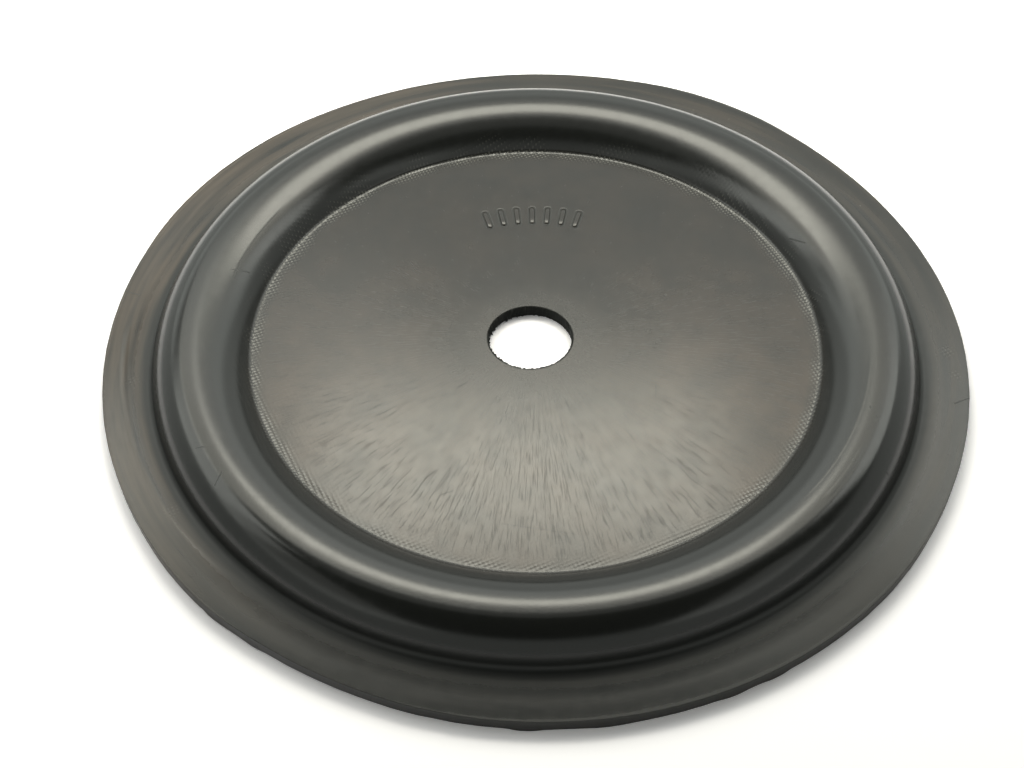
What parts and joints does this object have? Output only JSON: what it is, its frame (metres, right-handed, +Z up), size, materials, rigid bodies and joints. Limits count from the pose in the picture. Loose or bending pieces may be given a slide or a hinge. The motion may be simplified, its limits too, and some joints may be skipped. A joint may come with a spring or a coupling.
{
  "type": "rubber diaphragm",
  "caption": "Round moulded rubber rolling diaphragm: flat centre disc with a stem hole, one raised convolution ring around it and a flat clamping flange outside.",
  "frame": {"origin": "on the axis of the hole, at the underside of the flange and the disc, where the part lies", "axes": "+Z up along the axis, towards the crest of the convolution; the part is round, and the moulded mark lies on the +Y side"},
  "size_m": [0.24, 0.24, 0.0132],
  "materials": {
    "rubber": "satin black, moulded"
  },
  "bodies": {
    "root": {"diaphragm": "rubber"}
  },
  "joints": []
}
